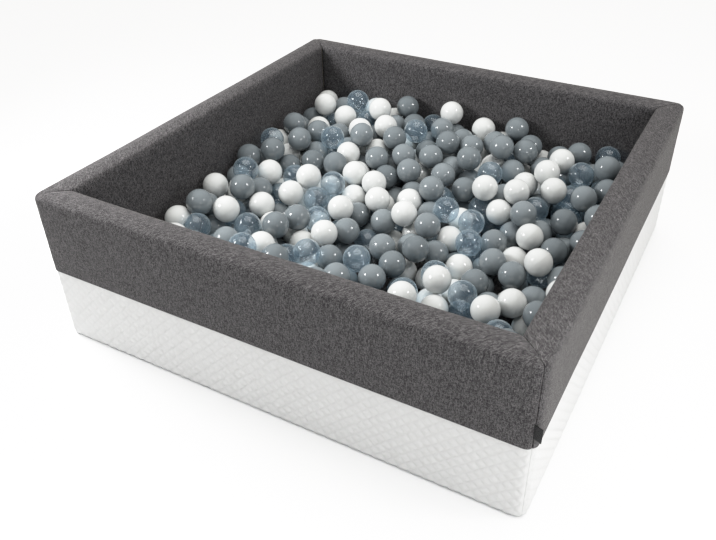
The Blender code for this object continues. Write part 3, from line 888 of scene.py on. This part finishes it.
def makeTab():
    look = tabForm
    low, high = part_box("corner_label")
    far = look["length"] - look["fold"]
    runOut = [(place, look["fold"]) for place in np.linspace(-look["root"], far, 9)]
    turns = np.linspace(0.4, math.pi - 0.4, 5)
    bend = [(far + look["fold"] * math.sin(a), look["fold"] * math.cos(a)) for a in turns]
    path = np.array(runOut + bend + [(place, -deep) for place, deep in runOut[::-1]])
    depth = look["fold"] + look["ply"] / 2
    standOff = pit["gap"] + depth * math.sin(quarterTurn / 2 + math.radians(look["swing"]))
    seam = pit["cornerRadius"] - (pit["cornerRadius"] + standOff) / math.sqrt(2)
    heights = np.linspace(0, 1, look["rows"])
    sheet = np.zeros((len(path), len(heights), 3))
    for i, (along, out) in enumerate(path):
        share = max(0.0, along / look["length"])
        sheet[i, :, 0] = along
        sheet[i, :, 1] = out - look["curl"] * share ** 2 * (1 + 0.6 * np.cos(heights * 5))
        sheet[i, :, 2] = low.z + (high.z - low.z) * heights + look["edgeWave"] * share * math.sin(i * 0.9)
    mesh = gridMesh("blank_tab", sheet)
    place = Vector((pit["half"] - seam, seam - pit["half"], 0))
    mesh.transform(Matrix.Translation(place) @ Matrix.Rotation(math.radians(look["swing"]), 4, "Z"))
    piece = addPiece(mesh.name, mesh, labelBlack, slot="label_black", replaced=["corner_label"])
    cloth = piece.modifiers.new("cloth", "SOLIDIFY")
    cloth.thickness = look["ply"]
    cloth.offset = 0


makeTab()


# Zip along the back: tapes, coil, slider and pull

zipForm = {
    "tape": 0.0005, "core": 0.0009, "coreTop": 0.0023, "toothPitch": 0.0016, "toothWidth": 0.0011,
    "toothReach": 0.0021, "toothLow": 0.0023, "toothTop": 0.0033, "metalEdge": 0.00016,
}


def zipStrip(points, faces, profile, length, steps):
    # sweeps a closed profile of (out, up) along the zip
    start = len(points)
    for i in range(steps + 1):
        along = length * (i / steps - 0.5)
        points += [(along, out, up) for out, up in profile]
    around = len(profile)
    for i in range(steps):
        for j in range(around):
            k = (j + 1) % around
            low = start + i * around
            faces.append((low + j, low + k, low + around + k, low + around + j))
    faces.append(tuple(start + j for j in range(around))[::-1])
    faces.append(tuple(start + steps * around + j for j in range(around)))


def makeZip():
    look = zipForm
    low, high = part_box("zip_chain")
    length, half = high.x - low.x, (high.z - low.z) / 2
    points, faces = [], []
    for side in (-1, 1):
        near, far, tape = 0.0003, half - 0.0001, look["tape"]
        profile = [(0.00005, near), (0.00005, far), (tape * 0.6, far), (tape, far - 0.0004), (tape, near)]
        zipStrip(points, faces, [(out, side * up) for out, up in profile][::side], length, 40)
    core, top = look["core"], look["coreTop"]
    profile = [(0.0002, -core), (0.0002, core), (top, core), (top, -core)]
    zipStrip(points, faces, profile, length - 0.002, 40)
    bow = [(math.cos(a), math.sin(a)) for a in np.linspace(0, 2 * math.pi, 7)[:-1]]
    middleOut = (look["toothLow"] + look["toothTop"]) / 2
    outRadius = (look["toothTop"] - look["toothLow"]) / 2
    for i in range(int((length - 0.004) / look["toothPitch"])):
        along = (i + 0.5) * look["toothPitch"] + 0.002 - length / 2
        lean = 0.0002 * (-1) ** i
        start = len(points)
        spans = [(-1.0, 0.55), (-0.9, 0.9), (0.9, 0.9), (1.0, 0.55)]
        for reach, swell in spans:
            for wide, out in bow:
                place = along + lean * reach + wide * look["toothWidth"] / 2 * swell
                points.append((place, middleOut + out * outRadius * swell, reach * look["toothReach"]))
        for ring in range(3):
            for j in range(6):
                k = (j + 1) % 6
                base = start + ring * 6
                faces.append((base + j, base + k, base + 6 + k, base + 6 + j))
        faces.append(tuple(start + j for j in range(6))[::-1])
        faces.append(tuple(start + 18 + j for j in range(6)))
    mesh = bpy.data.meshes.new("zip_tape_and_coil")
    mesh.from_pydata(points, [], faces)
    mesh.transform(Matrix.Translation((0, low.y, (low.z + high.z) / 2)))
    shape = bmesh.new()
    shape.from_mesh(mesh)
    bmesh.ops.recalc_face_normals(shape, faces=shape.faces)
    shape.to_mesh(mesh)
    shape.free()
    mesh.shade_smooth()
    mesh.set_sharp_from_angle(angle=math.radians(50))
    addPiece(mesh.name, mesh, zipNylon, slot="zip_nylon", replaced=["zip_chain"])


def makeMetal(node, name):
    # the frame's own form with its edges softened
    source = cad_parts[node]
    shape = bmesh.new()
    shape.from_mesh(source.data)
    shape.transform(source.matrix_world)
    bmesh.ops.remove_doubles(shape, verts=shape.verts, dist=1e-6)
    bmesh.ops.dissolve_limit(shape, angle_limit=math.radians(1), verts=shape.verts, edges=shape.edges)
    mesh = bpy.data.meshes.new(name)
    shape.to_mesh(mesh)
    shape.free()
    piece = addPiece(name, mesh, zipMetal, body=node, slot="zip_metal", replaced=[node])
    soft = piece.modifiers.new("soft edges", "BEVEL")
    soft.width = zipForm["metalEdge"]
    soft.segments = 2
    soft.limit_method = "ANGLE"
    soft.angle_limit = math.radians(30)
    mesh.shade_smooth()
    mesh.set_sharp_from_angle(angle=math.radians(40))


makeZip()
makeMetal("zip_slider", "zip_slider_metal")
makeMetal("zip_pull", "zip_pull_metal")
print("zip made")


# Balls: the same settled heap as the frame's, ball by ball

heap = {
    "diameter": 0.07, "gap": 0.0003, "innerHalf": 0.53, "middle": 0.168, "backRise": 0.105,
    "leftShare": 0.75, "backStart": -0.12, "backLength": 0.62, "leftStart": 0.02, "leftLength": 0.5,
    "slack": 0.01,
    "seed": 7, "drops": 30, "misses": 40, "pushes": 6, "contact": 0.9999995, "dropStep": 0.004,
    "leastStep": 0.0001, "leastFall": 0.05, "floor": 0.05,
}


def ease(share):
    share = min(1.0, max(0.0, share))
    return share * share * (3 - 2 * share)


def heapTop(x, y):
    back = ease((y - heap["backStart"]) / heap["backLength"])
    left = ease((heap["leftStart"] - x) / heap["leftLength"])
    return heap["middle"] + heap["backRise"] * (1 - (1 - back) * (1 - heap["leftShare"] * left))


def settleBalls():
    pick = random.Random(heap["seed"])
    radius = heap["diameter"] / 2
    spacing = heap["diameter"] + heap["gap"]
    half = heap["innerHalf"] - radius - heap["gap"]
    lowest = heap["floor"] + radius + heap["gap"]
    cells = {}
    balls = []

    def cellOf(x, y):
        return math.floor(x / spacing), math.floor(y / spacing)

    def near(x, y):
        column, row = cellOf(x, y)
        found = []
        for i in (column - 1, column, column + 1):
            for j in (row - 1, row, row + 1):
                found += cells.get((i, j), ())
        return found

    def landing(x, y):
        height = lowest
        for ball in near(x, y):
            across = (ball[0] - x) ** 2 + (ball[1] - y) ** 2
            if across < spacing ** 2:
                height = max(height, ball[2] + math.sqrt(spacing ** 2 - across))
        return height

    def pushedClear(x, y, z):
        for pushRound in range(heap["pushes"]):
            moved = False
            x = min(half, max(-half, x))
            y = min(half, max(-half, y))
            z = max(lowest, z)
            for ball in near(x, y):
                dx, dy, dz = x - ball[0], y - ball[1], z - ball[2]
                apart = math.sqrt(dx * dx + dy * dy + dz * dz)
                if apart < spacing * heap["contact"]:
                    push = (spacing - apart) / apart
                    x, y, z = x + dx * push, y + dy * push, z + dz * push
                    moved = True
            if not moved:
                return x, y, z
        return None

    misses = 0
    while misses < heap["misses"]:
        drops = []
        for drop in range(heap["drops"]):
            x = pick.uniform(-half, half)
            y = pick.uniform(-half, half)
            z = landing(x, y)
            drops.append((heapTop(x, y) - z, x, y, z))
        room, x, y, z = max(drops)
        if room < -heap["slack"]:
            misses += 1
            continue
        step = heap["dropStep"]
        while step > heap["leastStep"]:
            place = pushedClear(x, y, z - step)
            if place is None or place[2] > z - step * heap["leastFall"]:
                step /= 2
            else:
                x, y, z = place
        balls.append(Vector((x, y, z)))
        cells.setdefault(cellOf(x, y), []).append((x, y, z))
    return balls


ballForm = {"ridge": 0.00015, "ridgeHalf": 0.0007, "fine": (32, 15), "plain": (18, 9)}


def ballPoints(radius, segments, rings, ridge):
    # A turned ball: rings of points from pole to pole, with the mould's parting ridge at the middle
    angles = list(np.linspace(-quarterTurn, quarterTurn, rings + 2)[1:-1])
    rims = [(a, radius) for a in angles if abs(a) > 0.02]
    edge = ballForm["ridgeHalf"] / radius
    for side in (-1, 1):
        rims += [(side * edge * 0.5, radius + ridge)]
        rims += [(side * edge * 1.5, radius), (side * edge * 2.5, radius)]
    rims.sort()
    turn = np.linspace(0, 2 * math.pi, segments, endpoint=False)
    points = [(0, 0, -radius)]
    for angle, reach in rims:
        out, up = reach * math.cos(angle), reach * math.sin(angle)
        points += [(out * c, out * s, up) for c, s in zip(np.cos(turn), np.sin(turn))]
    points.append((0, 0, radius))
    faces = []
    last = len(points) - 1
    lastRing = 1 + (len(rims) - 1) * segments
    for i in range(segments):
        j = (i + 1) % segments
        faces.append((0, 1 + j, 1 + i))
        faces.append((last, lastRing + i, lastRing + j))
        for ring in range(len(rims) - 1):
            low = 1 + ring * segments
            faces.append((low + i, low + j, low + segments + j, low + segments + i))
    return np.array(points), faces


def ballTemplate(detail, hollow):
    radius = heap["diameter"] / 2
    points, faces = ballPoints(radius, *ballForm[detail], ballForm["ridge"])
    if hollow:
        inner, innerFaces = ballPoints(radius - clearLook["wall"], *ballForm[detail], 0.0)
        faces = faces + [tuple(len(points) + i for i in face[::-1]) for face in innerFaces]
        points = np.concatenate([points, inner])
    return points, faces


templates = {
    (detail, hollow): ballTemplate(detail, hollow)
    for detail in ("fine", "plain") for hollow in (False, True)
}


def ballsMesh(name, members):
    # members: (middle, detail, hollow, tone, turn) of each ball
    allPoints, allFaces, tones = [], [], []
    count = 0
    for middle, detail, hollow, tone, turn in members:
        points, faces = templates[detail, hollow]
        allPoints.append(points @ np.array(turn.to_matrix()).T + np.array(middle))
        allFaces += [tuple(count + i for i in face) for face in faces]
        tones.append(np.full(len(points), tone))
        count += len(points)
    mesh = bpy.data.meshes.new(name)
    mesh.from_pydata(np.concatenate(allPoints).tolist(), [], allFaces)
    mesh.shade_smooth()
    storeOnPoints(mesh, "ballTone", "FLOAT", np.concatenate(tones))
    return mesh


balls = settleBalls()
print("balls in the heap:", len(balls))


def settledBall(middle):
    # the settled ball at the place of one of the frame's loose balls, which may lie a little lower
    def miss(i):
        return (balls[i].xy - middle.xy).length + max(0, middle.z - balls[i].z) * 0.2

    return min(range(len(balls)), key=miss)


looseBalls = {}
for node in sorted(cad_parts):
    if node.startswith("ball_"):
        low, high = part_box(node)
        looseBalls[settledBall((low + high) / 2)] = node

# Which colour each ball has, with more white ones to the left
colourMix = {
    "seed": 21, "white": 0.30, "moreWhite": 0.12, "whiteStart": 0.1, "whiteLength": 0.5,
    "clear": 0.20, "shownDepth": 0.02, "fineDepth": 0.075,
}
pick = random.Random(colourMix["seed"])
colourOf = {}
for i, ball in enumerate(balls):
    leftward = ease((colourMix["whiteStart"] - ball.x) / colourMix["whiteLength"])
    whiteShare = colourMix["white"] + colourMix["moreWhite"] * leftward
    roll = pick.random()
    if roll < whiteShare:
        colourOf[i] = "white"
    else:
        colourOf[i] = "clear" if roll < whiteShare + colourMix["clear"] else "grey"


def underTop(ball):
    return heapTop(ball.x, ball.y) - ball.z


# Balls that stand out in the photograph: colour, then along and back across the pit
landmarks = [
    ("white", 0.205, -0.242), ("white", -0.477, -0.244), ("white", -0.422, 0.451), ("white", 0.328, 0.391),
    ("white", 0.375, -0.187), ("white", 0.182, 0.148), ("grey", -0.139, 0.501), ("grey", 0.137, 0.463),
    ("clear", 0.24, -0.028),
]
shown = [
    i for i, ball in enumerate(balls)
    if underTop(ball) < colourMix["shownDepth"] and i not in looseBalls
]
for colour, x, y in landmarks:
    colourOf[min(shown, key=lambda i: (balls[i].xy - Vector((x, y))).length)] = colour

columnNames = ("left", "centre", "right")
rowNames = ("front", "middle", "back")
groups = {}
for i, ball in enumerate(balls):
    turn = Vector((pick.gauss(0, 1), pick.gauss(0, 1), pick.gauss(0, 1))).to_track_quat("Z", "Y")
    tone = pick.random()
    if i in looseBalls:
        continue
    column = math.floor((ball.x / pit["inner"] + 1) / 2 * 3)
    row = math.floor((ball.y / pit["inner"] + 1) / 2 * 3)
    detail = "fine" if underTop(ball) < colourMix["fineDepth"] else "plain"
    node = "heap_" + rowNames[row] + "_" + columnNames[column]
    groups.setdefault((node, colourOf[i]), []).append((ball, detail, colourOf[i] == "clear", tone, turn))

for (node, colour), members in sorted(groups.items()):
    mesh = ballsMesh(node + "_" + colour, members)
    addPiece(mesh.name, mesh, ballPlastics[colour], slot=colour + "_plastic", replaced=[node])

looseColours = ("white", "grey", "clear")
for index, node in sorted(looseBalls.items()):
    colour = looseColours[int(node[-2:]) % 3]
    turn = Vector((pick.gauss(0, 1), pick.gauss(0, 1), pick.gauss(0, 1))).to_track_quat("Z", "Y")
    member = (balls[index], "fine", colour == "clear", pick.random(), turn)
    mesh = ballsMesh(node.replace("ball", "play_ball"), [member])
    addPiece(mesh.name, mesh, ballPlastics[colour], body=node, slot=colour + "_plastic", replaced=[node])
print("balls made")


# Stage, lamps and camera

stageLook = {"floor": 30.0, "floorTone": (0.80, 0.805, 0.81), "sky": (0.96, 0.98, 1.0), "skyStrength": 0.40}


def makeStage():
    bpy.ops.mesh.primitive_plane_add(size=stageLook["floor"])
    floor = bpy.context.object
    floor.name = "floor"
    book = Book("studioFloor")
    floor.data.materials.append(book.finish(book.principled({
        "Base Color": (*stageLook["floorTone"], 1),
        "Roughness": 0.9,
    })))
    world = bpy.data.worlds.new("studio")
    world.use_nodes = True
    sky = world.node_tree.nodes["Background"]
    sky.inputs["Color"].default_value = (*stageLook["sky"], 1)
    sky.inputs["Strength"].default_value = stageLook["skyStrength"]
    scene.world = world


overhead = {"strength": 3.75, "spread": 60, "lean": (-0.16, 0.05), "tone": (1.0, 0.975, 0.94)}
lamps = {
    "right": {"place": (2.54, 0.34, 2.29), "size": 0.60, "power": 20, "glint": True},
    "left": {"place": (-1.42, -1.23, 1.40), "size": 0.50, "power": 16, "glint": True},
    "front": {"place": (1.66, -1.86, 1.18), "size": 0.36, "power": 3, "glint": True},
    "near": {"place": (1.35, -0.75, 0.70), "size": 0.5, "power": 7, "glint": False},
    "corner": {"place": (-1.15, -0.45, 0.90), "size": 0.4, "power": 19, "glint": False},
}


def makeLamps():
    sun = bpy.data.lights.new("overhead", "SUN")
    sun.energy = overhead["strength"]
    sun.angle = math.radians(overhead["spread"])
    sun.color = overhead["tone"]
    above = bpy.data.objects.new("overhead_lamp", sun)
    above.rotation_euler = (overhead["lean"][0], overhead["lean"][1], 0)
    above.visible_glossy = False
    scene.collection.objects.link(above)
    for name, lamp in lamps.items():
        data = bpy.data.lights.new(name, "AREA")
        data.shape = "DISK"
        data.size = lamp["size"]
        data.energy = lamp["power"]
        light = bpy.data.objects.new(name + "_lamp", data)
        light.location = lamp["place"]
        light.visible_glossy = lamp["glint"]
        light.rotation_euler = (Vector((0, 0, 0.2)) - light.location).to_track_quat("-Z", "Y").to_euler()
        scene.collection.objects.link(light)


view = {
    "place": (0.7955, -1.5273, 1.2480),
    "tilt": 55.50, "pan": 28.85, "roll": -0.59,
    "lens": 38.5, "shift": (-0.025, -0.0212),
}


def makeCamera():
    data = bpy.data.cameras.new("camera")
    data.lens = view["lens"]
    data.shift_x, data.shift_y = view["shift"]
    camera = bpy.data.objects.new("camera", data)
    turn = Matrix.Rotation(math.radians(view["pan"]), 4, "Z")
    turn = turn @ Matrix.Rotation(math.radians(view["tilt"]), 4, "X")
    turn = turn @ Matrix.Rotation(math.radians(view["roll"]), 4, "Z")
    camera.matrix_world = Matrix.Translation(view["place"]) @ turn
    scene.collection.objects.link(camera)
    scene.camera = camera


makeStage()
makeLamps()
makeCamera()


toneCurve = [
    (0.0, 0.0), (0.2, 0.2), (0.5, 0.48), (0.8, 0.74), (1.1, 0.90), (1.35, 0.97), (1.6, 0.995),
    (2.2, 1.0),
]


def setTone():
    settings = scene.view_settings
    settings.view_transform = "Standard"
    settings.look = "None"
    settings.use_curve_mapping = True
    mapping = settings.curve_mapping
    most = toneCurve[-1][0]
    mapping.white_level = (most, most, most)
    points = mapping.curves[3].points
    for value, shown in toneCurve[1:-1]:
        points.new(value / most, shown)
    mapping.update()


setTone()
